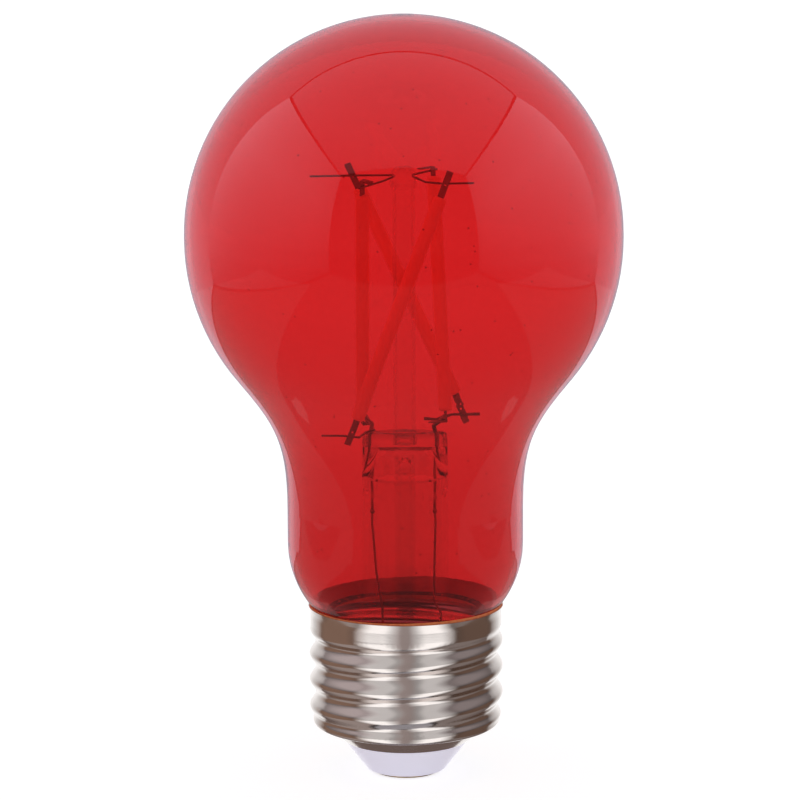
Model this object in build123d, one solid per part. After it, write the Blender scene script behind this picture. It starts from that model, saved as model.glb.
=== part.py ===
from build123d import *
from math import asin, atan2, cos, degrees, pi, radians, sin, sqrt
import os

# LED filament lamp of the common pear shape, with a red see-through globe and a screw cap.
# Millimetres. The origin is the flat tip of the centre contact, on the lamp's axis, and +Z runs
# up to the crown. -Y is the side that the photograph looks at.

# Centre contact and insulator
contact_thickness = 0.4
contact_round = 0.25
contact_margin = 0.9
contact_pin_radius = 1.1
contact_pin_proud = 1.2
pin_clearance = 0.02
insulator_height = 4.3
insulator_taper = 3.3
insulator_round = 0.6
insulator_seat_rise = 1.0
insulator_step = 0.12

# Screw cap of the 26 mm size, seven threads to the inch
thread_pitch = 3.629
thread_crest_radius = 13.2
thread_depth = 0.85
thread_length = 10.25
thread_run_in = 1.2
thread_run_out = 2.1
first_crest_rise = 4.45
thread_sections_per_turn = 14
shell_wall = 0.25
collar_inset = 0.15
collar_length = 2.5
rim_flare = 0.25
rim_flare_length = 1.2
lip_inset = 0.45
lip_rise = 1.15
corner_radius = 0.7
crease_inset = 2.15
cone_taper = 1.9
cone_rise = 1.6

# Radii and heights of the cap that follow from these
thread_root_radius = thread_crest_radius - thread_depth
collar_radius = thread_crest_radius - collar_inset
lip_radius = thread_crest_radius - lip_inset
crease_radius = lip_radius - crease_inset
cone_radius = crease_radius - cone_taper
insulator_tip_radius = cone_radius - insulator_taper
contact_radius = insulator_tip_radius - contact_margin
insulator_bottom = contact_thickness
cone_foot = insulator_bottom + insulator_height
crease_height = cone_foot + cone_rise
insulator_seat_top = crease_height + insulator_seat_rise
contact_pin_top = insulator_seat_top + contact_pin_proud
thread_foot = crease_height + lip_rise
thread_full_foot = thread_foot + thread_run_in
thread_crest_at_left = thread_full_foot + first_crest_rise
thread_full_top = thread_full_foot + thread_length
collar_foot = thread_full_top + thread_run_out
shell_rim = collar_foot + collar_length

# Glass globe, its neck seated in the collar
globe_radius = 29.5
waist_band = 0.5
shoulder_angle = 39.4
shoulder_pull_top = 8.2
shoulder_pull_bottom = 9.0
shoulder_rise = 36.8
neck_swell = 2.95
neck_length = 4.9
heel_drop = 10.2
neck_seat_depth = 1.5
neck_seat_gap = 0.167
glass_wall = 0.8
neck_radius = collar_radius + neck_swell
seal_height = shell_rim - neck_seat_depth
neck_foot = seal_height + heel_drop
neck_top = neck_foot + neck_length
equator_height = neck_top + shoulder_rise

# Filaments set the height of the button, so their length comes first
filament_length = 31.4

# Glass stem
stem_radius = 5.85
stem_wall = 0.9
stem_length = 19.5
flare_rise = 7.0
flare_rim_thickness = 0.9
press_taper = 4.1
press_length = 2.4
press_half_width = 5.75
press_half_depth = 2.3
press_round = 0.8
hollow_inset = 2.2
hollow_half_depth = 0.7
hollow_under_shoulder = 0.6
exhaust_radius = 1.4
exhaust_wall = 0.45
exhaust_tip_drop = 1.0
exhaust_in_press = 2.9
exhaust_hole_rise = 1.9
exhaust_hole_radius = 0.85
rod_radius = 1.55
rod_in_press = 1.7
rod_over_filaments = 2.4
button_radius = 2.0
button_rise = 1.7
flare_top = seal_height + flare_rise
press_foot = seal_height + stem_length
press_shoulder = press_foot + press_taper
press_top = press_shoulder + press_length
press_hollow_top = press_shoulder - hollow_under_shoulder
exhaust_tip = seal_height - exhaust_tip_drop
exhaust_top = press_foot + exhaust_in_press
exhaust_hole_height = press_foot + exhaust_hole_rise
rod_foot = press_top - rod_in_press
rod_length = filament_length + rod_over_filaments
button_centre = press_top + rod_length
button_top = button_centre + button_rise

# Metal wires
support_wire = 0.28
lead_wire = 0.58
cross_wire = 0.28
seal_wire = 0.4
outer_wire = 0.3
wire_bend = 0.5
support_bend = 0.4
lead_x_left = -4.6
lead_x_right = 4.1
seal_top_drop = 2.1
knot_drop = 5.1
knot_radius = 0.32
weld_gap = 0.02
button_wire_rise = 0.5
seal_top = press_top - seal_top_drop
knot_height = press_foot - knot_drop
button_wire_height = button_centre + button_wire_rise

# Filaments
filament_radius = 0.92
filament_end_round = 0.4
substrate_width = 0.9
substrate_thickness = 0.35
strip_width = 0.9
strip_thickness = 0.16
strip_length = 3.7
strip_overlap = 0.8
strip_hole_radius = 0.16
strip_hole_inset = 1.9

# Cement between cap and glass
cement_proud = 0.06
cement_rise = 0.5
cement_bead = 0.3
cement_clearance = 0.02
cement_foot = seal_height - flare_rim_thickness

# Driver on its board
board_width = 16.5
board_height = 10.0
board_thickness = 1.0
board_corner = 0.8
board_above_pin = 0.8
board_y = 1.2
solder_gap = 0.02
bridge_size = (4.7, 2.4, 3.9)
bridge_x = -4.6
bridge_rise = 6.6
chip_size = (4.9, 1.5, 3.9)
chip_x = 2.6
chip_rise = 6.8
body_chamfer = 0.3
resistor_size = (2.0, 0.55, 1.25)
resistor_x = (-1.4, -4.6)
capacitor_radius = 3.15
capacitor_length = 9.0
capacitor_rise = 4.6
can_round = 0.4
fuse_radius = 1.25
fuse_length = 6.5
fuse_x = 3.6
fuse_rise = 1.9
board_wire = 0.5
board_wire_bend = 0.3
board_foot = contact_pin_top + board_above_pin
board_top = board_foot + board_height
bridge_height = board_foot + bridge_rise
chip_height = board_foot + chip_rise
capacitor_height = board_foot + capacitor_rise
fuse_height = board_foot + fuse_rise


# Small helpers
on_foot = (Align.CENTER, Align.CENTER, Align.MIN)
under_top = (Align.CENTER, Align.CENTER, Align.MAX)


def turned(face):
    """Solid of one turn of a section drawn in the XZ plane about the lamp's axis."""
    return revolve(face, Axis.Z)


def rod_between(start, end, radius):
    """Round bar from one point to another."""
    line = Vector(*end) - Vector(*start)
    return Plane(origin=start, z_dir=line) * Cylinder(radius, line.length, align=on_foot)


def bent_wire(points, diameter, bend=wire_bend):
    """Round wire through hand-placed corners, each rounded by the bend radius."""
    path = FilletPolyline(*points, radius=bend) if len(points) > 2 else Line(*points)
    start = Plane(origin=path @ 0, z_dir=path % 0)
    return sweep(start * Circle(diameter / 2), path=path)


def slab(size, centre):
    """Upright box of a given size about its centre."""
    return Pos(*centre) * Box(*size)


# Glass
def heel_centre():
    """How far off the axis the heel's round is centred, so that the glass clears the rim."""
    drop = neck_foot - shell_rim
    at_rim = collar_radius + rim_flare - shell_wall - neck_seat_gap
    return (neck_radius ** 2 - drop ** 2 - at_rim ** 2) / (2 * (neck_radius - at_rim))


def heel_edge(inset):
    """Radius of the heel where the neck is cut, for the outside or an inset line."""
    round_radius = neck_radius - heel_centre() - inset
    return heel_centre() + sqrt(round_radius ** 2 - heel_drop ** 2)


def globe_outline(inset):
    """Line of the globe from its crown to the cut end of its neck, drawn inwards by an inset."""
    radius = globe_radius - inset
    angle = radians(shoulder_angle)
    shoulder = (radius * cos(angle), equator_height - radius * sin(angle))
    pull = (shoulder[0] - sin(angle) * shoulder_pull_top, shoulder[1] - cos(angle) * shoulder_pull_top)
    neck = (neck_radius - inset, neck_top)
    heel_radius = neck_radius - heel_centre() - inset
    heel_turn = degrees(asin(heel_drop / heel_radius))
    CenterArc((0, equator_height + waist_band), radius, 0, 90)
    Line((radius, equator_height + waist_band), (radius, equator_height))
    CenterArc((0, equator_height), radius, -shoulder_angle, shoulder_angle)
    Bezier(shoulder, pull, (neck[0], neck_top + shoulder_pull_bottom), neck)
    Line(neck, (neck[0], neck_foot))
    CenterArc((heel_centre(), neck_foot), heel_radius, 0, -heel_turn)


def globe_plug(inset):
    """The globe as a solid, for cutting what lies against it."""
    top = equator_height + waist_band + globe_radius - inset
    with BuildSketch(Plane.XZ) as section:
        with BuildLine():
            globe_outline(inset)
            Polyline((heel_edge(inset), seal_height), (0, seal_height), (0, top))
        make_face()
    return turned(section.sketch)


def glass_envelope():
    """Blown globe of even wall, open at the cut end of its neck."""
    top = equator_height + waist_band + globe_radius
    with BuildSketch(Plane.XZ) as section:
        with BuildLine():
            globe_outline(0)
            globe_outline(glass_wall)
            Line((heel_edge(0), seal_height), (heel_edge(glass_wall), seal_height))
            Line((0, top), (0, top - glass_wall))
        make_face()
    return turned(section.sketch)


def trumpet():
    """Hollow flared tube, its rim seated under the cut end of the neck."""
    bore = stem_radius - stem_wall
    rim_foot = seal_height - flare_rim_thickness
    seat = heel_edge(glass_wall)
    rim = heel_edge(0)
    with BuildSketch(Plane.XZ) as section:
        with BuildLine():
            Polyline((bore, press_foot), (stem_radius, press_foot), (stem_radius, flare_top))
            Bezier(
                (stem_radius, flare_top), (stem_radius, seal_height + 2.5),
                (stem_radius + 1.8, seal_height + 0.4), (seat, seal_height),
            )
            Polyline((seat, seal_height), (rim, seal_height), (rim, rim_foot))
            Bezier((rim, rim_foot), (bore + 1.8, rim_foot + 0.2), (bore, rim_foot + 2.6), (bore, flare_top))
            Line((bore, flare_top), (bore, press_foot))
        make_face()
    return turned(section.sketch)


def press():
    """The pinched top of the stem, round at its foot and flat at its top."""
    foot = Plane.XY.offset(press_foot)
    shoulder = Plane.XY.offset(press_shoulder)
    hollow = Plane.XY.offset(press_hollow_top)
    pinched = Ellipse(press_half_width, press_half_depth)
    body = loft([foot * Circle(stem_radius), shoulder * pinched])
    top = extrude(shoulder * pinched, press_top - press_shoulder)
    top = fillet(top.edges().group_by(Axis.Z)[-1], press_round)
    narrow = Ellipse(press_half_width - hollow_inset, hollow_half_depth)
    inside = loft([foot * Circle(stem_radius - stem_wall), hollow * narrow])
    return body + top - inside


def exhaust_bar():
    """Outside of the exhaust tube, with its melted-off round tip."""
    bar = Pos(0, 0, exhaust_tip) * Cylinder(exhaust_radius, exhaust_top - exhaust_tip, align=on_foot)
    return fillet(bar.edges().group_by(Axis.Z)[0], exhaust_radius - 0.05)


def exhaust_port():
    """The blown hole from the top of the exhaust tube out through the front of the press."""
    centre = Plane(origin=(0, 0, exhaust_hole_height), z_dir=(0, -1, 0))
    return centre * Cylinder(exhaust_hole_radius, stem_radius + 1, align=on_foot)


def exhaust_tube():
    bore_foot = exhaust_tip + exhaust_radius
    bore_length = exhaust_hole_height - bore_foot
    bore = Pos(0, 0, bore_foot) * Cylinder(exhaust_radius - exhaust_wall, bore_length, align=on_foot)
    return exhaust_bar() - bore - exhaust_port()


def support_rod():
    """Glass rod with the button that holds the two upper wires."""
    shaft = rod_between((0, 0, rod_foot), (0, 0, button_centre), rod_radius)
    button = Pos(0, 0, button_centre) * Sphere(button_radius)
    wide = 3 * button_radius
    flat = Pos(0, 0, button_top) * Box(wide, wide, wide, align=on_foot)
    return shaft + button - flat


# Wires, with their corners placed by hand from the photograph. Heights are counted from the
# middle of the button, the top of the press, the weld knot or the cut end of the neck.
upper_left_route = [
    (-12.6, 2.6, button_centre + 0.1),
    (-6.9, 1.8, button_centre + 0.3),
    (-1.2, 0.5, button_wire_height),
    (-1.2, -0.6, button_wire_height),
    (-2.8, -2.4, button_centre + 0.1),
    (-5.9, -6.9, button_centre - 0.2),
]
upper_right_route = [
    (4.5, 5.4, button_centre + 0.6),
    (1.2, 0.7, button_wire_height),
    (1.2, -0.6, button_wire_height),
    (2.9, -3.4, button_centre + 0.1),
    (5.2, -5.0, button_centre + 0.1),
    (9.3, -6.0, button_centre + 0.3),
]
left_hook_route = [
    (lead_x_left, 0, seal_top),
    (lead_x_left, 0, press_top - 0.1),
    (lead_x_left + 0.2, 0.4, press_top + 0.9),
    (lead_x_left - 1.1, 4.6, press_top + 1.3),
]
right_hook_route = [
    (lead_x_right, 0, seal_top),
    (lead_x_right, 0, press_top - 0.1),
    (lead_x_right - 0.2, -0.3, press_top + 0.8),
    (lead_x_right + 1.2, -5.6, press_top + 2.9),
]
left_cross_route = [
    (lead_x_left + 0.5, -0.45, press_top + 0.3),
    (lead_x_left - 0.6, -1.6, press_top + 0.2),
    (lead_x_left - 1.5, -6.3, press_top + 0.3),
    (lead_x_left - 3.6, -7.2, press_top + 0.7),
    (lead_x_left - 6.4, -7.8, press_top + 0.8),
]
right_cross_route = [
    (lead_x_right - 1.5, 0.35, press_top + 1.6),
    (lead_x_right + 0.1, 0.35, press_top + 1.5),
    (lead_x_right + 2.3, 3.0, press_top + 1.5),
    (lead_x_right + 6.1, 3.9, press_top + 1.4),
]
left_knot_x = lead_x_left + 0.15
right_knot_x = lead_x_right - 0.1
left_seal_route = [
    (lead_x_left, 0, seal_top),
    (lead_x_left, 0, press_foot - 0.3),
    (left_knot_x, 0, knot_height + knot_radius + weld_gap),
]
right_seal_route = [
    (lead_x_right, 0, seal_top),
    (lead_x_right, 0, press_foot - 0.3),
    (right_knot_x, 0, knot_height + knot_radius + weld_gap),
]
left_outer_route = [
    (left_knot_x, 0, knot_height),
    (left_knot_x - 0.05, 0, knot_height - 1.6),
    (left_knot_x + 0.45, 0, seal_height + 6.0),
    (left_knot_x + 1.25, 0.1, seal_height + 0.6),
    (left_knot_x + 1.25, 0.3, board_top),
]
right_outer_route = [
    (right_knot_x, 0, knot_height),
    (right_knot_x + 0.1, 0, knot_height - 1.6),
    (right_knot_x - 0.1, 0, seal_height + 5.6),
    (right_knot_x - 0.2, 0.1, seal_height + 1.7),
    (right_knot_x + 0.8, 0.3, seal_height),
    (right_knot_x + 0.8, 0.3, board_top),
]


def outer_lead(route):
    """Copper lead from the glass to the board, with the bead of its weld."""
    lead = bent_wire(route, outer_wire)
    bead = Pos(*route[0]) * Sphere(knot_radius)
    return lead + bead


# Filaments
def unit(vector):
    return vector * (1 / vector.length)


def side_of(wire_direction, bar, outward):
    """Direction square to both a wire and a filament, on the side asked for."""
    normal = unit(Vector(*wire_direction).cross(bar))
    return normal if normal.dot(Vector(*outward)) > 0 else normal * -1


def filament_frame(ends):
    """Centre line of a filament laid against its two wires, with the face of each end."""
    top_weld = Vector(*ends["top"]) + Vector(0, 0, button_centre)
    foot_weld = Vector(*ends["foot"]) + Vector(0, 0, press_top)
    bar = unit(top_weld - foot_weld)
    top_side = side_of(ends["top_wire"], bar, ends["outward"])
    foot_side = side_of(ends["foot_wire"], bar, ends["outward"])
    top = top_weld + top_side * ends["reach"][0]
    foot = foot_weld + foot_side * ends["reach"][1]
    return top, foot, top_side, foot_side


def end_strip(body_end, away, side, fold, fold_towards):
    """Flat metal strip at one end of a filament, straight or folded over its wire."""
    straight = strip_overlap + (fold if fold else strip_length)
    across = away.cross(side)
    start = body_end - away * strip_overlap
    frame = Plane(origin=start, x_dir=across, z_dir=away)
    strip = frame * Box(strip_width, strip_thickness, straight, align=on_foot)
    if fold:
        tip = start + away * straight
        towards = side * fold_towards
        flap = Plane(origin=tip - towards * (strip_thickness / 2), x_dir=across, z_dir=towards)
        return strip + flap * Box(strip_width, strip_thickness, strip_length - fold, align=on_foot)
    hole = Plane(origin=start + away * (straight - strip_hole_inset), x_dir=across, z_dir=side)
    return strip - hole * Cylinder(strip_hole_radius, 1)


def filament_pieces(number, ends):
    """The four pieces of one filament: coating, carrier and the strip at each end."""
    top, bottom, top_side, bottom_side = filament_frame(ends)
    bar = unit(top - bottom)
    top_side = unit(top_side - bar * top_side.dot(bar))
    bottom_side = unit(bottom_side - bar * bottom_side.dot(bar))
    middle = (top + bottom) * 0.5 + bar * ends["shift"]
    low_end = middle - bar * (filament_length / 2)
    high_end = middle + bar * (filament_length / 2)
    frame = Plane(origin=middle, x_dir=bar.cross(top_side), z_dir=bar)
    coat = frame * Cylinder(filament_radius, filament_length)
    coat = fillet(coat.edges().filter_by(GeomType.CIRCLE), filament_end_round)
    carrier = frame * Box(substrate_width, substrate_thickness, filament_length - 2 * strip_overlap)
    high = end_strip(high_end, bar, top_side, ends["fold"], ends["top_fold_side"])
    low = end_strip(low_end, bar * -1, bottom_side, ends["fold"], ends["bottom_fold_side"])
    name = f"filament_{number}"
    return {
        f"{name}_coating": coat - carrier - high - low,
        f"{name}_carrier": carrier,
        f"{name}_top_strip": high,
        f"{name}_bottom_strip": low,
    }


def filaments():
    """Four filaments leaning round the rod like the staves of a twisted cage.

    The height of a top weld is counted from the button, and of a foot weld from the press.
    """
    thin = support_wire / 2 + strip_thickness / 2 + weld_gap
    thick = lead_wire / 2 + strip_thickness / 2 + weld_gap
    pieces = {}
    layout = [
        dict(
            top=(5.65, -5.1, 0.1), foot=(-7.3, -6.8, 0.55), reach=(thin, thin), outward=(0, -1, 0),
            top_wire=(4.1, -1.0, 0.2), foot_wire=(-2.1, -0.9, 0.4),
            shift=0.25, fold=0, top_fold_side=1, bottom_fold_side=1,
        ),
        dict(
            top=(-6.9, 1.8, 0.3), foot=(8.0, 3.38, 1.46), reach=(thin, thin), outward=(0, 1, 0),
            top_wire=(-5.7, 1.3, -0.2), foot_wire=(3.8, 0.9, -0.1),
            shift=0.3, fold=0, top_fold_side=1, bottom_fold_side=1,
        ),
        dict(
            top=(3.8, 4.4, 0.58), foot=(5.09, -4.79, 2.58), reach=(thin, thick), outward=(1, 0, 0),
            top_wire=(3.3, 4.7, 0.1), foot_wire=(1.4, -5.3, 2.1),
            shift=0, fold=1.3, top_fold_side=-1, bottom_fold_side=-1,
        ),
        dict(
            top=(-5.28, -6.0, -0.14), foot=(-5.37, 3.53, 1.2), reach=(thin, thick), outward=(-1, 0, 0),
            top_wire=(-3.1, -4.5, -0.3), foot_wire=(-1.3, 4.2, 0.4),
            shift=0, fold=2.1, top_fold_side=-1, bottom_fold_side=-1,
        ),
    ]
    for number, ends in enumerate(layout, start=1):
        pieces.update(filament_pieces(number, ends))
    return pieces


# Screw cap
def eased(share):
    """Smooth step from 0 to 1."""
    share = min(max(share, 0), 1)
    return share * share * (3 - 2 * share)


def thread_swing(z):
    """How far the rolled round lies off the axis at a height, fading at both runs out."""
    full = (thread_crest_radius - thread_root_radius) / 2
    fade_top = 1 - eased((z - thread_full_top) / (collar_foot - thread_full_top))
    fade_foot = eased((z - thread_foot) / (thread_full_foot - thread_foot))
    return full * fade_top * fade_foot


def thread_round(z):
    """Radius of the rolled round at a height: collar, thread, then lip."""
    middle = (thread_crest_radius + thread_root_radius) / 2
    to_collar = eased((z - thread_full_top) / (collar_foot - thread_full_top))
    to_lip = 1 - eased((z - thread_foot) / (thread_full_foot - thread_foot))
    return middle + (collar_radius - middle) * to_collar + (lip_radius - middle) * to_lip


def rolled_thread(inset):
    """The threaded length of the cap: rounds whose centres walk round the axis, one turn a pitch."""
    steps = round((collar_foot - thread_foot) / thread_pitch * thread_sections_per_turn)
    rounds = []
    for step in range(steps + 1):
        z = thread_foot + (collar_foot - thread_foot) * step / steps
        turn = pi + 2 * pi * (z - thread_crest_at_left) / thread_pitch
        swing = thread_swing(z)
        centre = (swing * cos(turn), swing * sin(turn), z)
        rounds.append(Plane(origin=centre) * Circle(thread_round(z) - inset))
    return loft(rounds)


def collar_section(inset):
    """Half section of the plain collar with its slightly opened rim."""
    radius = collar_radius - inset
    with BuildSketch(Plane.XZ) as section:
        with BuildLine():
            flare_foot = (radius, shell_rim - rim_flare_length)
            Polyline((0, shell_rim), (0, collar_foot), (radius, collar_foot), flare_foot)
            Spline(flare_foot, (radius + rim_flare, shell_rim), tangents=((0, 1), (0.3, 1)))
            Line((radius + rim_flare, shell_rim), (0, shell_rim))
        make_face()
    return section.sketch


def foot_section(inset):
    """Half section of the foot of the cap: lip, rounded corner, crease and cone."""
    lip = lip_radius - inset
    lean = atan2(crease_radius - cone_radius, crease_height - cone_foot)
    in_x = inset * cos(lean)
    in_z = inset * sin(lean)
    crease = (crease_radius - in_x * 0.4, crease_height + inset)
    foot = (cone_radius - in_x, cone_foot + in_z)
    corner = thread_foot - corner_radius + inset
    with BuildSketch(Plane.XZ) as section:
        with BuildLine():
            Polyline((0, thread_foot), (lip, thread_foot))
            Bezier((lip, thread_foot), (lip, corner), (lip - corner_radius, corner), crease)
            Line(crease, foot)
            if inset:
                Polyline(foot, (foot[0], cone_foot), (0, cone_foot))
            else:
                Line(foot, (0, cone_foot))
            Line((0, cone_foot), (0, thread_foot))
        make_face()
    return section.sketch


def cap_body(inset):
    """The cap as a solid plug, drawn inwards from its outline by an inset."""
    return rolled_thread(inset) + turned(collar_section(inset)) + turned(foot_section(inset))


def screw_shell():
    return cap_body(0) - cap_body(shell_wall)


def insulator():
    """White insulator, its seat inside the cone of the cap and its own cone below it."""
    seat = turned(foot_section(shell_wall + pin_clearance))
    ceiling = Pos(0, 0, insulator_seat_top) * Cylinder(2 * lip_radius, lip_radius, align=on_foot)
    lean = (cone_radius - insulator_tip_radius) / (cone_foot - insulator_bottom)
    with BuildSketch(Plane.XZ) as section:
        with BuildLine():
            top = (cone_radius - insulator_step, cone_foot - pin_clearance)
            tip = (top[0] - lean * (top[1] - insulator_bottom), insulator_bottom)
            Polyline((0, cone_foot + 0.3), (top[0] - 0.7, cone_foot + 0.3), (top[0] - 0.7, top[1]), top)
            Polyline(top, tip, (0, insulator_bottom), (0, cone_foot + 0.3))
        make_face()
    cone = turned(section.sketch)
    cone = fillet(cone.edges().group_by(Axis.Z)[0], insulator_round)
    bore = rod_between((0, 0, -1), (0, 0, insulator_seat_top + 1), contact_pin_radius + pin_clearance)
    return seat + cone - ceiling - bore


def centre_contact():
    """Round contact plate under the insulator, on the pin that runs up through it."""
    plate = Cylinder(contact_radius, insulator_bottom, align=on_foot)
    plate = fillet(plate.edges().group_by(Axis.Z)[0], contact_round)
    pin = Cylinder(contact_pin_radius, contact_pin_top, align=on_foot)
    return plate + pin


def bead_section():
    """Half section of the cement bead that stands on the rim against the glass."""
    inner = collar_radius + rim_flare - shell_wall - 2 * cement_clearance
    on_rim = shell_rim + cement_clearance
    with BuildSketch(Plane.XZ) as section:
        with BuildLine():
            Polyline((0, shell_rim - 0.1), (inner, shell_rim - 0.1), (inner, on_rim))
            Polyline((inner, on_rim), (inner + cement_bead / 2, on_rim), (inner + cement_bead, on_rim + 1))
            Polyline((inner + cement_bead, on_rim + 1), (0, on_rim + 1), (0, shell_rim - 0.1))
        make_face()
    return section.sketch


def basing_cement():
    """Cement in the wedge between collar and glass, its bead standing higher on the right."""
    plug = turned(collar_section(shell_wall + cement_clearance)) + turned(bead_section())
    wide = 4 * collar_radius
    below = Pos(0, 0, cement_foot) * Box(wide, wide, wide, align=under_top)
    inside = Pos(0, 0, seal_height) * Cylinder(heel_edge(0) + cement_clearance, 4 * flare_rim_thickness)
    lean = degrees(atan2(cement_rise, 2 * collar_radius))
    top = shell_rim + cement_clearance + cement_proud + cement_rise / 2
    above = Plane(origin=(0, 0, top)).rotated((0, -lean, 0))
    above *= Box(wide, wide, wide, align=on_foot)
    return plug - below - inside - globe_plug(-cement_clearance) - above


# Driver
def board_face():
    """Y of the front face of the board."""
    return board_y - board_thickness / 2


def driver_board():
    centre = (0, board_y, board_foot + board_height / 2)
    board = slab((board_width, board_thickness, board_height), centre)
    return fillet(board.edges().filter_by(Axis.Y), board_corner)


def on_front(size, x, z):
    """Component body standing on the front face of the board."""
    y = board_face() - solder_gap - size[1] / 2
    return slab(size, (x, y, z))


def bridge_rectifier():
    return chamfer(on_front(bridge_size, bridge_x, bridge_height).edges().filter_by(Axis.Y), body_chamfer)


def driver_chip():
    return chamfer(on_front(chip_size, chip_x, chip_height).edges().filter_by(Axis.Y), body_chamfer)


def chip_resistors():
    """Two small chip resistors beside each other under the driver chip."""
    return Compound(children=[on_front(resistor_size, x, fuse_height) for x in resistor_x])


def smoothing_capacitor():
    """Can capacitor lying along the back of the board."""
    y = board_y + board_thickness / 2 + solder_gap + capacitor_radius
    can = Pos(0, y, capacitor_height) * (Rotation(0, 90, 0) * Cylinder(capacitor_radius, capacitor_length))
    return fillet(can.edges().filter_by(GeomType.CIRCLE), can_round)


def fusible_resistor():
    """Fusible resistor across the foot of the board, on its front face."""
    y = board_face() - solder_gap - fuse_radius
    body = Pos(fuse_x, y, fuse_height) * (Rotation(0, 90, 0) * Cylinder(fuse_radius, fuse_length))
    return fillet(body.edges().filter_by(GeomType.CIRCLE), can_round)


def live_wire():
    """Wire from the foot of the board to the side of the contact's pin."""
    y = -contact_pin_radius - board_wire / 2 - weld_gap
    weld = contact_pin_top - 0.6
    start = board_foot - solder_gap
    route = [
        (2.2, board_y, start),
        (2.2, board_y, start - 0.68),
        (1.6, y, weld + 0.4),
        (0, y, weld),
        (-0.9, y, weld),
    ]
    return bent_wire(route, board_wire, board_wire_bend)


def neutral_wire():
    """Wire from the foot of the board to the inside of the cap's lip."""
    reach = lip_radius - shell_wall - board_wire / 2 - weld_gap
    weld = thread_foot + 0.4
    start = board_foot - solder_gap
    route = [(-5.0, board_y, start), (-5.0, board_y, start - 0.88), (-8.0, 0.4, weld), (-reach, 0, weld)]
    return bent_wire(route, board_wire, board_wire_bend)


def build():
    upper_left = bent_wire(upper_left_route, support_wire, support_bend)
    upper_right = bent_wire(upper_right_route, support_wire, support_bend)
    left_hook = bent_wire(left_hook_route, lead_wire)
    right_hook = bent_wire(right_hook_route, lead_wire)
    left_seal = bent_wire(left_seal_route, seal_wire)
    right_seal = bent_wire(right_seal_route, seal_wire)
    glass_cut = [left_hook, right_hook, left_seal, right_seal]
    stem = trumpet() + press() - exhaust_bar() - exhaust_port()
    stem -= rod_between((0, 0, rod_foot), (0, 0, press_top + 1), rod_radius)
    for wire in glass_cut:
        stem -= wire
    pieces = {
        "glass_envelope": glass_envelope(),
        "stem_flare": stem,
        "exhaust_tube": exhaust_tube(),
        "support_rod": support_rod() - upper_left - upper_right,
        "upper_wire_left": upper_left,
        "upper_wire_right": upper_right,
        "lead_hook_left": left_hook,
        "lead_hook_right": right_hook,
        "cross_wire_left": bent_wire(left_cross_route, cross_wire, support_bend),
        "cross_wire_right": bent_wire(right_cross_route, cross_wire, support_bend),
        "seal_wire_left": left_seal,
        "seal_wire_right": right_seal,
        "outer_lead_left": outer_lead(left_outer_route),
        "outer_lead_right": outer_lead(right_outer_route),
        "screw_shell": screw_shell(),
        "insulator": insulator(),
        "centre_contact": centre_contact(),
        "basing_cement": basing_cement(),
        "driver_board": driver_board(),
        "bridge_rectifier": bridge_rectifier(),
        "driver_chip": driver_chip(),
        "chip_resistors": chip_resistors(),
        "smoothing_capacitor": smoothing_capacitor(),
        "fusible_resistor": fusible_resistor(),
        "live_wire": live_wire(),
        "neutral_wire": neutral_wire(),
    }
    pieces.update(filaments())
    return pieces


os.makedirs("parts", exist_ok=True)
for name, piece in build().items():
    export_step(piece, f"parts/{name}.step")
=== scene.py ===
# %% [markdown]
# Red LED filament lamp with a screw cap
# The lamp is a blown red globe that is melted onto a clear glass stem. The stem carries four LED
# filaments on wires, and a rolled nickel cap is cemented under the globe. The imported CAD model
# already has every piece at its true size, so it is loaded first, and the looks are built on it.

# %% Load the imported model
from math import cos, pi, radians, sin

import bpy
from mathutils import Matrix, Vector

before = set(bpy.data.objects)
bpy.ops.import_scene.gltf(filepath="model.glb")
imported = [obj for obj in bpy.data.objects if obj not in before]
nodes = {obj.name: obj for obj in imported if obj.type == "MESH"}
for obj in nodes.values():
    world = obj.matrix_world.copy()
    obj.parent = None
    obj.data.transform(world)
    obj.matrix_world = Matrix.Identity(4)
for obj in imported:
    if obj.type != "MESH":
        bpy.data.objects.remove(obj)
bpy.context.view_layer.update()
MM = 0.001
print("CAD nodes:", len(nodes))

# %% [markdown]
# Colours are picked as hex values, as a paint chart gives them. Blender works in linear light, so
# one function turns each hex value into linear red, green and blue.

# %% Hex colours to linear light


def linear(code):
    """Linear colour with alpha of a hex value."""
    channels = [int(code[k:k + 2], 16) / 255 for k in (0, 2, 4)]
    light = [c / 12.92 if c <= 0.04045 else ((c + 0.055) / 1.055) ** 2.4 for c in channels]
    return (*light, 1)


print("mid grey in linear light:", [round(c, 3) for c in linear("808080")[:3]])

# %% [markdown]
# A material is a small network of nodes. Each node is added by one function, which also sets its
# options and fills or links its sockets, so that a material reads as a short list.

# %% One function that adds a node


def add(tree, kind, sockets=None, **options):
    """Adds a node with its options, and its sockets filled or linked."""
    node = tree.nodes.new(kind)
    for name, value in options.items():
        setattr(node, name, value)
    for name, value in (sockets or {}).items():
        if isinstance(value, bpy.types.NodeSocket):
            tree.links.new(value, node.inputs[name])
        else:
            node.inputs[name].default_value = value
    return node


def blank(name):
    """A new material with an empty tree, and the tree."""
    material = bpy.data.materials.new(name)
    material.use_nodes = True
    material.node_tree.nodes.clear()
    return material, material.node_tree


def finish_surface(tree, shader):
    """Links the shader to the material's output."""
    add(tree, "ShaderNodeOutputMaterial", {"Surface": shader.outputs[0]})


# %% [markdown]
# Where a material goes
# A CAD node keeps its mesh and gets a better material in place of its plain packed colour. A set
# keeps the names that are done, so that a bare node can be found at the end.

# %% Dress a CAD node
dressed = set()


def dress(material, *names):
    """Gives the material to the CAD nodes named."""
    for name in names:
        mesh = nodes[name].data
        mesh.materials.clear()
        mesh.materials.append(material)
        dressed.add(name)
    print(material.name, "on", len(names), "nodes")


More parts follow.
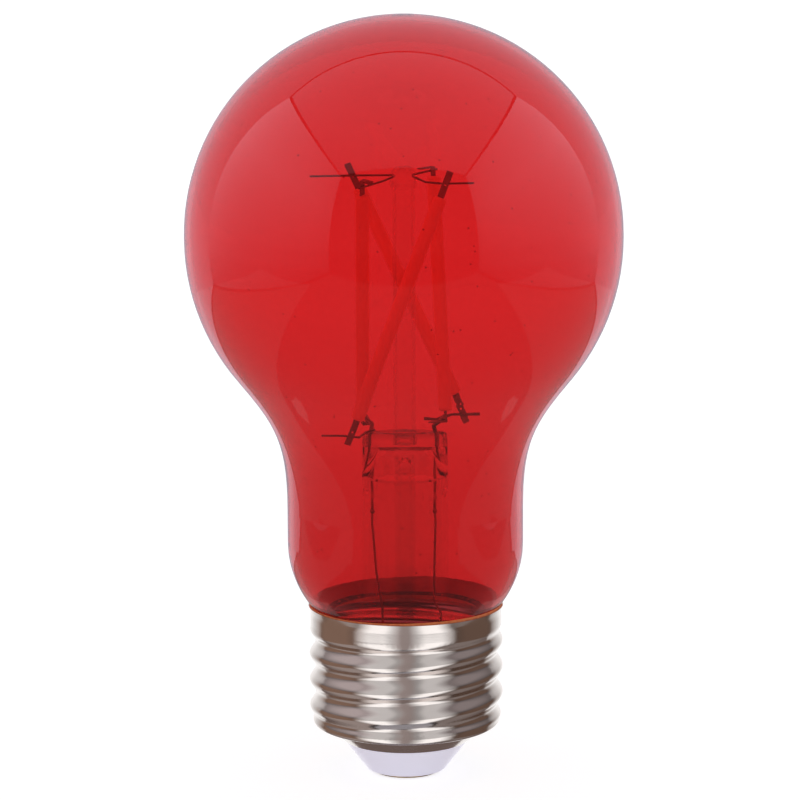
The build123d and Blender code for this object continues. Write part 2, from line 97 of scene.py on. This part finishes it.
# %% [markdown]
# Red glass
# Coloured soda-lime glass has an IOR of about 1.5 and no roughness to speak of. The globe was
# blown in a mould and polished by its own heat, so it is smooth with slow ripples and a few seeds.
# Each wall tints what is seen through it once.
# Lamps have to reach the filaments, and rays from them would stop at glass that bends light, so
# those rays alone meet a clear shader. The tube of the stem is so thin that most of the light goes
# straight on through it too, and only the thick press above it bends what is behind.

# %% Glass
GLASS_IOR = 1.5
SPECK_SPACING = 3.5 * MM
PRESS_FOOT = (38.5 * MM, 40 * MM)  # between these heights the tube turns into the press


def glass(name, tint, lamp_tint, waves, wave_size, specks, low=0.0, high=0.0):
    """Glass that lets the light of lamps pass.

    waves is the depth of its ripples in metres and specks the tone of its dust and seeds. low and
    high say how much light goes straight on, as through a thin wall, below and above the press.
    """
    material, tree = blank(name)
    place = add(tree, "ShaderNodeTexCoord").outputs["Object"]
    stretched = add(tree, "ShaderNodeMapping", {"Vector": place, "Scale": (1, 1, 0.45)})
    ripple = add(tree, "ShaderNodeTexNoise", {
        "Vector": stretched.outputs[0], "Scale": 1 / wave_size, "Detail": 1.0})
    bump = add(tree, "ShaderNodeBump", {
        "Height": ripple.outputs[0], "Strength": 1.0, "Distance": waves})
    cells = add(tree, "ShaderNodeTexVoronoi", {"Vector": place, "Scale": 1 / SPECK_SPACING})
    dust = add(tree, "ShaderNodeMapRange", {
        "Value": cells.outputs["Distance"], "From Min": 0.03, "From Max": 0.055})
    tone = add(tree, "ShaderNodeMix", {
        "Factor": dust.outputs[0], "A": linear(specks), "B": linear(tint)}, data_type="RGBA")
    clear = add(tree, "ShaderNodeBsdfPrincipled", {
        "Base Color": tone.outputs["Result"], "Roughness": 0.0, "IOR": GLASS_IOR,
        "Transmission Weight": 1.0, "Normal": bump.outputs[0]})
    through = add(tree, "ShaderNodeBsdfTransparent", {"Color": linear(lamp_tint)})
    height = add(tree, "ShaderNodeSeparateXYZ", {"Vector": place})
    thin = add(tree, "ShaderNodeMapRange", {
        "Value": height.outputs["Z"], "From Min": PRESS_FOOT[0], "From Max": PRESS_FOOT[1],
        "To Min": low, "To Max": high})
    path = add(tree, "ShaderNodeLightPath")
    straight = add(tree, "ShaderNodeMath", {
        0: path.outputs["Is Shadow Ray"], 1: thin.outputs[0]}, operation="MAXIMUM")
    both = add(tree, "ShaderNodeMixShader", {
        "Fac": straight.outputs[0], 1: clear.outputs[0], 2: through.outputs[0]})
    finish_surface(tree, both)
    return material


# Blown and coloured all through: slow ripples, and dark dust.
red_glass = glass("Red_soda_lime_glass", "E2595C", "EE989E", 0.00002, 16 * MM, "7A2A30")
# Squeezed while soft: only its press bends light.
stem_glass = glass("Pressed_stem_glass", "FAFBF8", "FDFEFC", 0.00001, 4 * MM, "E8E8E4", 0.93, 0.0)
# Drawn into rod and tube: nearly unseen inside the red globe.
rod_glass = glass("Drawn_clear_glass", "FAFBF8", "FDFEFC", 0.00001, 4 * MM, "E8E8E4", 0.93, 0.75)
dress(red_glass, "glass_envelope")
dress(stem_glass, "stem_flare")
dress(rod_glass, "exhaust_tube", "support_rod")

# %% [markdown]
# Metals
# Rolled nickel plate, tinned wire, copper and brass are all full metals. Their roughness is what
# tells them apart, with fine drawing or rolling marks as a shallow bump.

# %% Metals


def metal(name, colour, dark, roughness, grain, marks):
    """Metal with cloudy tone, uneven gloss and fine marks; grain is their size in metres."""
    material, tree = blank(name)
    place = add(tree, "ShaderNodeTexCoord").outputs["Object"]
    long = add(tree, "ShaderNodeMapping", {"Vector": place, "Scale": (1, 1, 6)})
    streaks = add(tree, "ShaderNodeTexNoise", {
        "Vector": long.outputs[0], "Scale": 1 / grain, "Detail": 4.0})
    cloud = add(tree, "ShaderNodeTexNoise", {"Vector": place, "Scale": 0.2 / grain, "Detail": 2.0})
    tone = add(tree, "ShaderNodeMix", {
        "Factor": cloud.outputs[0], "A": linear(colour), "B": linear(dark)}, data_type="RGBA")
    gloss = add(tree, "ShaderNodeMapRange", {
        "Value": streaks.outputs[0], "To Min": roughness * 0.8, "To Max": roughness * 1.25})
    bump = add(tree, "ShaderNodeBump", {
        "Height": streaks.outputs[0], "Strength": 0.4, "Distance": marks})
    shader = add(tree, "ShaderNodeBsdfPrincipled", {
        "Base Color": tone.outputs["Result"], "Metallic": 1.0, "Roughness": gloss.outputs[0],
        "Normal": bump.outputs[0]})
    finish_surface(tree, shader)
    return material


# The cap was rolled and then plated, so it mirrors the room with soft edges.
nickel = metal("Rolled_nickel_plate", "D9D3D0", "CBC3BF", 0.13, 1.2 * MM, 0.000004)
# The wires were drawn through dies, which leaves a dull sheen along them.
molybdenum = metal("Drawn_molybdenum_wire", "96918E", "75706D", 0.35, 0.3 * MM, 0.000004)
nickel_wire = metal("Nickel_lead_wire", "A39B96", "7C7571", 0.3, 0.3 * MM, 0.000004)
copper_clad = metal("Copper_clad_seal_wire", "B0654F", "8E4838", 0.4, 0.3 * MM, 0.000004)
copper = metal("Copper_lead_wire", "A8705F", "7E5244", 0.35, 0.3 * MM, 0.000004)
# The plate and the strips were stamped from sheet, with a grey and a brown tone.
brass = metal("Stamped_contact_plate", "B59A78", "8C7355", 0.3, 0.8 * MM, 0.000004)
strip = metal("Plated_steel_strip", "A8A29F", "8B8480", 0.4, 0.3 * MM, 0.000004)
SIDES = ("left", "right")
FILAMENTS = (1, 2, 3, 4)
dress(nickel, "screw_shell")
dress(molybdenum, *[f"{kind}_wire_{s}" for kind in ("upper", "cross") for s in SIDES])
dress(nickel_wire, *[f"lead_hook_{s}" for s in SIDES])
dress(copper_clad, *[f"seal_wire_{s}" for s in SIDES])
dress(copper, *[f"outer_lead_{s}" for s in SIDES])
dress(brass, "centre_contact")
dress(strip, *[f"filament_{k}_{end}_strip" for k in FILAMENTS for end in ("top", "bottom")])

# %% [markdown]
# Plastics, cement and coatings
# These are not metals. Each has its own tone, a typical roughness, and a fine grain from how it
# was moulded, dipped or mixed. Inside the red globe everything is bathed in red light from all
# around, which few samples can't gather, so such pieces get painted light: they glow a little in
# that red. The white plastic of the cap also glows a cool white, as painted light that brightens
# it.

# %% Plastics, cement and coatings


def solid(name, colour, other, roughness, grain, depth, glow=0.0, painted_glow_colour="FFFFFF"):
    """Non-metal with mottled tone and grain.

    The last two arguments give the strength and the colour of painted light, an even glow that
    stands in for the light that it would gather from all around.
    """
    material, tree = blank(name)
    place = add(tree, "ShaderNodeTexCoord").outputs["Object"]
    mottle = add(tree, "ShaderNodeTexNoise", {"Vector": place, "Scale": 1 / grain, "Detail": 3.0})
    tone = add(tree, "ShaderNodeMix", {
        "Factor": mottle.outputs[0], "A": linear(colour), "B": linear(other)}, data_type="RGBA")
    gloss = add(tree, "ShaderNodeMapRange", {
        "Value": mottle.outputs[0], "To Min": roughness * 0.85, "To Max": roughness * 1.15})
    bump = add(tree, "ShaderNodeBump", {
        "Height": mottle.outputs[0], "Strength": 0.5, "Distance": depth})
    # The emission here is painted light: the piece glows though it is no lamp.
    shader = add(tree, "ShaderNodeBsdfPrincipled", {
        "Base Color": tone.outputs["Result"], "Roughness": gloss.outputs[0],
        "Normal": bump.outputs[0], "Emission Color": linear(painted_glow_colour), "Emission Strength": glow})
    finish_surface(tree, shader)
    return material


# Moulded in a polished tool: even and satin, with a cool white. Its glow is painted light
# that brightens it.
plastic = solid("Moulded_white_plastic", "F4F2FF", "EFEDFC", 0.35, 2.0 * MM, 0.00001,
                0.32, "F0EEFF")
# Mixed with grit and baked in the cap: crumbly, from amber to dark brown. A faint red glow is
# painted light.
cement = solid("Baked_capping_cement", "D98A4A", "8A3A1C", 0.85, 0.5 * MM, 0.0002,
               0.12, "E8604A")
# Silicone with phosphor powder, dipped on: soft and even. Its red glow is painted light for the
# red light round it in the globe.
phosphor = solid("Phosphor_silicone", "FFD6A8", "F8CA96", 0.45, 1.0 * MM, 0.00002,
                 0.25, "E2494C")
# The pieces that stay out of sight have the plain tone of their make. The board also glows a
# little red, as painted light.
ceramic = solid("Filament_carrier_ceramic", "E9E6DC", "DEDACE", 0.5, 0.5 * MM, 0.00001)
laminate = solid("Glass_fibre_board", "DCE3D6", "C9D3C4", 0.5, 0.4 * MM, 0.00001,
                 0.12, "E8605A")
epoxy = solid("Moulded_black_epoxy", "232324", "1A1A1C", 0.55, 0.2 * MM, 0.00001)
resistor = solid("Fired_resistor_body", "2B3440", "222932", 0.4, 0.3 * MM, 0.00001)
sleeve = solid("Shrunk_capacitor_sleeve", "26305A", "1E274A", 0.3, 0.8 * MM, 0.00001)
fuse = solid("Dipped_fuse_lacquer", "5F8A6A", "527A5C", 0.35, 0.6 * MM, 0.00001)
cover = solid("Silicone_wire_cover", "E8E6E2", "DCD9D4", 0.5, 0.5 * MM, 0.00001)
dress(plastic, "insulator")
dress(cement, "basing_cement")
dress(phosphor, *[f"filament_{k}_coating" for k in FILAMENTS])
dress(ceramic, *[f"filament_{k}_carrier" for k in FILAMENTS])
dress(laminate, "driver_board")
dress(epoxy, "bridge_rectifier", "driver_chip")
dress(resistor, "chip_resistors")
dress(sleeve, "smoothing_capacitor")
dress(fuse, "fusible_resistor")
dress(cover, "live_wire", "neutral_wire")
print("still bare:", sorted(set(nodes) - dressed))

# %% [markdown]
# Floor and background
# The lamp was photographed in a white tent and shown on pure white. The world is white wherever
# the camera looks past the lamp or through its glass. The floor glows nearly enough to be white,
# and the light from above adds the rest, so that the lamp's soft shadow stays on it. Through the
# glass the floor is dimmer close behind the lamp, which darkens the neck as in the picture.

# %% Floor
FLOOR_SIZE = 4.0
FLOOR_DROP = 0.05 * MM
FLOOR_GLOW = 0.7
# Between these two depths behind the lamp, the floor seen through glass gets brighter.
BEHIND = (0.03, 0.35)
BEHIND_GLOW = (0.36, 0.75)


def open_view(tree):
    """Socket that is 1 for the camera's rays and for those that came through glass."""
    path = add(tree, "ShaderNodeLightPath")
    return add(tree, "ShaderNodeMath", {
        0: path.outputs["Is Camera Ray"], 1: path.outputs["Is Transmission Ray"]},
        operation="MAXIMUM").outputs[0]


def stage_floor():
    """Large white floor just under the contact, glowing a little so that only a shadow shows."""
    bpy.ops.object.select_all(action="DESELECT")
    bpy.ops.mesh.primitive_plane_add(size=FLOOR_SIZE, location=(0, 0, -FLOOR_DROP))
    floor = bpy.context.object
    floor.name = "Floor"
    material, tree = blank("Tent_floor_sheet")
    sheet = add(tree, "ShaderNodeBsdfDiffuse", {"Color": linear("C8C8CA")})
    path = add(tree, "ShaderNodeLightPath")
    place = add(tree, "ShaderNodeTexCoord").outputs["Object"]
    depth = add(tree, "ShaderNodeSeparateXYZ", {"Vector": place})
    near = add(tree, "ShaderNodeMapRange", {
        "Value": depth.outputs["Y"], "From Min": BEHIND[0], "From Max": BEHIND[1],
        "To Min": BEHIND_GLOW[0], "To Max": BEHIND_GLOW[1]})
    direct = add(tree, "ShaderNodeMath", {0: path.outputs["Is Camera Ray"], 1: FLOOR_GLOW},
                 operation="MULTIPLY")
    strength = add(tree, "ShaderNodeMath", {0: direct.outputs[0], 1: near.outputs[0]},
                   operation="MAXIMUM")
    light = add(tree, "ShaderNodeEmission", {
        "Color": linear("FFFFFF"), "Strength": strength.outputs[0]})
    seen = add(tree, "ShaderNodeAddShader", {0: sheet.outputs[0], 1: light.outputs[0]})
    both = add(tree, "ShaderNodeMixShader", {
        "Fac": open_view(tree), 1: sheet.outputs[0], 2: seen.outputs[0]})
    finish_surface(tree, both)
    floor.data.materials.append(material)
    floor.visible_glossy = False
    floor.visible_shadow = False
    return floor


floor = stage_floor()
print(floor.name, "side in metres:", FLOOR_SIZE)

# %% World
ROOM_GLOW = 0.03


def studio_world():
    """White past the lamp for the camera and through glass, and a dim warm room for the rest."""
    world = bpy.data.worlds.new("Studio")
    world.use_nodes = True
    bpy.context.scene.world = world
    tree = world.node_tree
    tree.nodes.clear()
    white = add(tree, "ShaderNodeBackground", {"Color": linear("FFFFFF"), "Strength": 1.0})
    room = add(tree, "ShaderNodeBackground", {
        "Color": linear("FFD9C8"), "Strength": ROOM_GLOW})
    both = add(tree, "ShaderNodeMixShader", {
        "Fac": open_view(tree), 1: room.outputs[0], 2: white.outputs[0]})
    add(tree, "ShaderNodeOutputWorld", {"Surface": both.outputs[0]})


studio_world()
print("room glow:", ROOM_GLOW)

# %% [markdown]
# Light
# The globe mirrors a white fabric tent: two side walls, a ceiling, a back wall and a floor, and
# the open front as a dark window. The cap mirrors two tall cards beside the camera, a brown band
# at both sides with paler light above and below it, and a white backdrop. Glass and cap were lit
# apart, so each light is linked to the pieces that it is meant for.

# %% Who is lit by what
CAP_NODES = ("screw_shell", "insulator", "centre_contact", "basing_cement")
STEM_NODES = ("stem_flare", "exhaust_tube", "support_rod")


def lit_group(name, members):
    """Collection of the objects that a light is linked to."""
    group = bpy.data.collections.new(name)
    for member in members:
        group.objects.link(member)
    return group


cap_group = lit_group("Lit_by_cards", [nodes[n] for n in CAP_NODES])
TENT_NODES = [n for n in nodes if n == "basing_cement" or n not in CAP_NODES + STEM_NODES]
tent_group = lit_group("Lit_by_tent", [nodes[n] for n in TENT_NODES])
floor_group = lit_group("Lit_from_above", [floor])

# %% One soft panel


def panel(name, group, centre, across, up, size, radiance,
          along=(1, 1), rise=(1, 1, 1), soft=0.001, colour="FFFFFF"):
    """Flat light with its middle, two directions, its width and height in metres and its radiance.

    along gives how bright its two ends are, and rise its foot, its top and the share of the height
    from which it is as bright as its top. soft is the share of the width over which each side
    fades out. It shines against the cross product of its two directions.
    """
    data = bpy.data.lights.new(name, "AREA")
    data.shape = "RECTANGLE"
    data.size, data.size_y = size
    data.energy = radiance * pi * size[0] * size[1]
    data.color = linear(colour)[:3]
    data.use_nodes = True
    tree = data.node_tree
    tree.nodes.clear()
    place = add(tree, "ShaderNodeNewGeometry").outputs["Parametric"]
    split = add(tree, "ShaderNodeSeparateXYZ", {"Vector": place})
    edge = add(tree, "ShaderNodeMath", {0: split.outputs["X"], 1: 0.5}, operation="PINGPONG")
    fade = add(tree, "ShaderNodeMapRange", {"Value": edge.outputs[0], "From Max": soft})
    side = add(tree, "ShaderNodeMapRange", {
        "Value": split.outputs["X"], "To Min": along[0], "To Max": along[1]})
    height = add(tree, "ShaderNodeMapRange", {
        "Value": split.outputs["Y"], "From Max": rise[2], "To Min": rise[0], "To Max": rise[1]})
    sides_share = add(tree, "ShaderNodeMath", {0: side.outputs[0], 1: fade.outputs[0]},
                      operation="MULTIPLY")
    share = add(tree, "ShaderNodeMath", {0: sides_share.outputs[0], 1: height.outputs[0]},
                operation="MULTIPLY")
    glow = add(tree, "ShaderNodeEmission", {"Strength": share.outputs[0]})
    add(tree, "ShaderNodeOutputLight", {"Surface": glow.outputs[0]})
    lamp = bpy.data.objects.new(name, data)
    x, y = Vector(across).normalized(), Vector(up).normalized()
    turn = Matrix((x, y, x.cross(y))).transposed().to_4x4()
    lamp.matrix_world = Matrix.Translation(centre) @ turn
    lamp.visible_camera = False
    lamp.visible_transmission = False
    lamp.light_linking.receiver_collection = group
    bpy.context.collection.objects.link(lamp)
    return lamp


# %% [markdown]
# The tent
# The walls are brightest where the lamps outside stood, near the front and high up. Dark seams
# are left between the walls and the ceiling, because the globe mirrors them as fine lines. The
# floor is dim, and its two side strips are turned so that their edge shows as a slant in the neck.

# %% The tent
WALL = 0.35
FRONT, BACK = -0.45, 0.19
TENT_FLOOR, TENT_TOP = -0.047, 0.476
SEAM = 0.014
CLOTH = "F4EEFF"
WALL_LIGHT, BACK_LIGHT, CEILING_LIGHT = 1.3, 0.6, 0.75
FLOOR_LIGHT, BEHIND_LIGHT, STRIP_LIGHT = 0.1, 0.2, 0.13
SLANT_X, SLANT_Y = 0.575, 0.818
deep = BACK - FRONT
tall = TENT_TOP - TENT_FLOOR
middle_y, middle_z = (BACK + FRONT) / 2, (TENT_TOP + TENT_FLOOR) / 2
for side, name, along in ((-1, "Left_wall", (1.1, 0.35)), (1, "Right_wall", (0.35, 1.1))):
    panel(name, tent_group, (side * WALL, middle_y, middle_z), (0, side, 0), (0, 0, 1),
          (deep, tall - SEAM), WALL_LIGHT, along=along, rise=(0.18, 1.0, 0.6), colour=CLOTH)
panel("Back_wall", tent_group, (0, BACK, middle_z), (-1, 0, 0), (0, 0, 1),
      (2 * WALL, tall - SEAM), BACK_LIGHT, colour=CLOTH)
panel("Ceiling", tent_group, (0, middle_y, TENT_TOP), (1, 0, 0), (0, 1, 0),
      (2 * WALL - SEAM, deep - SEAM), CEILING_LIGHT, rise=(0.4, 1.0, 1.0), colour=CLOTH)
panel("Tent_floor", tent_group, (0, middle_y, TENT_FLOOR), (1, 0, 0), (0, -1, 0),
      (2 * WALL, deep), FLOOR_LIGHT)
panel("Floor_behind", tent_group, (0, 0.11, TENT_FLOOR + MM), (1, 0, 0), (0, -1, 0),
      (0.16, 0.16), BEHIND_LIGHT)
for side, name in ((-1, "Floor_left"), (1, "Floor_right")):
    panel(name, tent_group, (side * 0.278, 0.041, TENT_FLOOR + 2 * MM),
          (SLANT_X, -side * SLANT_Y, 0), (-side * SLANT_Y, -SLANT_X, 0), (0.6, 0.3), STRIP_LIGHT)
print("tent", 2 * WALL, "m wide,", round(deep, 3), "m deep and", round(tall, 3), "m tall")

# %% [markdown]
# The cards
# Each card stands upright round the cap. Its angle from the camera says where on the cap it shows,
# and its height whether a flank of the thread that looks up or down mirrors it.

# %% The cards
CARD_SOFT = 0.35


def upright(name, turn, reach, width, low, high, radiance, colour="FFFFFF", rise=(1, 1, 1)):
    """Panel for the cap that stands at an angle from the camera, in degrees, facing the axis.

    reach is its distance from the axis, and low and high are its lower and upper edges, in metres.
    """
    a = radians(turn)
    foot = (sin(a) * reach, -cos(a) * reach)
    panel(name, cap_group, (*foot, (low + high) / 2), (cos(a), sin(a), 0), (0, 0, 1),
          (width, high - low), radiance, rise=rise, soft=CARD_SOFT, colour=colour)


for name, turn in (("Left", -36), ("Right", 33)):
    upright(name + "_card", turn, 0.3, 0.34, -0.9, -0.05, 1.5)
    upright(name + "_card_top", turn, 0.3, 0.34, -0.05, 0.9, 0.75)
upright("Camera_wall", -2.5, 0.35, 0.2, -0.9, 0.9, 0.36, "FFEDEA")
SIDE_BANDS = (("Left", -95, 0.26, 0.62, 0.42), ("Right", 95, 0.14, 0.32, 0.26))
for name, turn, wood, sky, foot in SIDE_BANDS:
    upright(name + "_wood", turn, 0.5, 1.1, -0.32, 0.1, wood, "FFCFB4")
    upright(name + "_sky", turn, 0.5, 1.2, 0.08, 0.95, sky, "F8EAEC", (0.2, 1, 0.3))
    upright(name + "_foot", turn, 0.5, 1.1, -1.3, -0.32, foot, "F8E6E0")
upright("Backdrop", 180, 0.4, 1.3, -0.3, 0.25, 1.1)
upright("Backdrop_foot", 180, 0.41, 1.3, -1.1, -0.3, 0.16, "FFE0D8")
panel("Under_glow", cap_group, (0, 0, -0.3), (1, 0, 0), (0, -1, 0), (0.2, 0.2), 0.4,
      colour="F4F4FF")
panel("Inside_the_cap", cap_group, (0, 0, 22.5 * MM), (1, 0, 0), (0, 1, 0), (18 * MM, 18 * MM),
      0.35, colour="F08084")

# %% Light on the floor
SKY_POWER = 2.0
SKY_SPREAD = 120


def floor_sky():
    """Soft light from all of the sky above, for the floor alone."""
    data = bpy.data.lights.new("Floor_sky", "SUN")
    data.energy = SKY_POWER
    data.angle = radians(SKY_SPREAD)
    lamp = bpy.data.objects.new("Floor_sky", data)
    lamp.light_linking.receiver_collection = floor_group
    bpy.context.collection.objects.link(lamp)
    print(lamp.name, "power", data.energy)


floor_sky()

# %% [markdown]
# Camera
# The picture was taken from about 0.6 m in front and slightly above, with the camera turned down
# eleven degrees and rolled by a third of a degree.

# %% Camera
CAMERA_PLACE = (0, -0.6, 0.16866)
CAMERA_DOWN = 11.031
CAMERA_ROLL = -0.31
LENS = 203.5
SENSOR = 36
SIDE_SHIFT = -4.7 / 800


def take_camera():
    """Camera at the photograph's viewing angle."""
    data = bpy.data.cameras.new("Camera")
    data.lens, data.sensor_width = LENS, SENSOR
    data.shift_x = SIDE_SHIFT
    camera = bpy.data.objects.new("Camera", data)
    tilt = Matrix.Rotation(radians(90 - CAMERA_DOWN), 4, "X")
    roll = Matrix.Rotation(radians(CAMERA_ROLL), 4, "Z")
    camera.matrix_world = Matrix.Translation(CAMERA_PLACE) @ tilt @ roll
    bpy.context.collection.objects.link(camera)
    bpy.context.scene.camera = camera
    print("camera with a lens of", LENS, "mm at", CAMERA_PLACE)


take_camera()
bpy.context.scene.view_settings.view_transform = "Standard"

# %% [markdown]
# End
# The script ends by saying that the scene is built.

# %% End
print("scene built")
